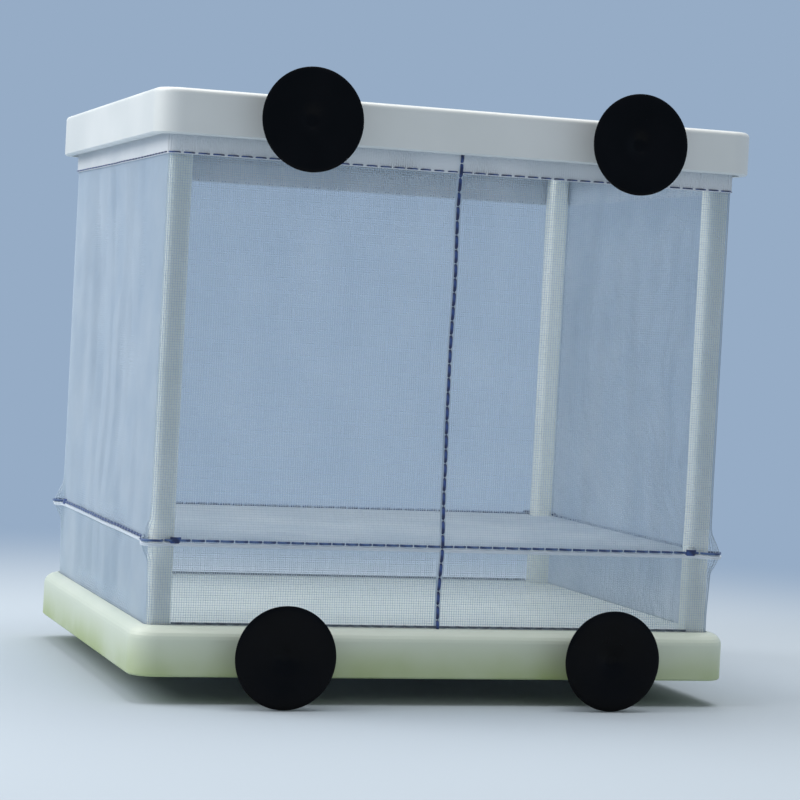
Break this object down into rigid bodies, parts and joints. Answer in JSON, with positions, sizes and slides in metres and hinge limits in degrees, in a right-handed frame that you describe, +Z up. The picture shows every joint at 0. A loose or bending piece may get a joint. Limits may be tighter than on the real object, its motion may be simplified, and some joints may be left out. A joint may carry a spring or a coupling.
{
  "type": "fish breeding box",
  "caption": "Open-topped net box with a white top frame, base and corner posts, a raised net floor, and suction cups on the front that hold it inside an aquarium.",
  "frame": {"origin": "in the plane of the aquarium glass, midway between the four suction cups", "axes": "+X along the front from left to right, +Y from the glass into the tank, +Z up"},
  "size_m": [0.155, 0.135, 0.153],
  "materials": {
    "white_plastic": "moulded, soft gloss",
    "base_plastic": "moulded, soft gloss, faintly green",
    "net": "fine woven nylon net, pale blue-grey, see-through",
    "thread": "dark blue sewing thread",
    "elastic": "braided elastic cord",
    "suction_rubber": "smooth black rubber"
  },
  "bodies": {
    "box": {"top_frame": "white_plastic", "base_frame": "base_plastic", "base_plate": "white_plastic", "post_front_left": "white_plastic", "post_front_right": "white_plastic", "post_rear_left": "white_plastic", "post_rear_right": "white_plastic", "net_wall": "net", "net_floor": "net", "side_seam": "thread", "floor_seam": "thread", "top_hem_cord": "elastic", "bottom_hem_cord": "elastic"},
    "cup_upper_left": {"cup_upper_left": "suction_rubber"},
    "cup_upper_right": {"cup_upper_right": "suction_rubber"},
    "cup_lower_left": {"cup_lower_left": "suction_rubber"},
    "cup_lower_right": {"cup_lower_right": "suction_rubber"}
  },
  "joints": [
    {"name": "cup_upper_left_swivel", "type": "hinge", "parent": "box", "child": "cup_upper_left", "pos_m": [-0.042, 0.006, 0.064], "axis": [0, 1, 0], "continuous": true},
    {"name": "cup_upper_right_swivel", "type": "hinge", "parent": "box", "child": "cup_upper_right", "pos_m": [0.042, 0.006, 0.064], "axis": [0, 1, 0], "continuous": true},
    {"name": "cup_lower_left_swivel", "type": "hinge", "parent": "box", "child": "cup_lower_left", "pos_m": [-0.042, 0.006, -0.064], "axis": [0, 1, 0], "continuous": true},
    {"name": "cup_lower_right_swivel", "type": "hinge", "parent": "box", "child": "cup_lower_right", "pos_m": [0.042, 0.006, -0.064], "axis": [0, 1, 0], "continuous": true}
  ]
}
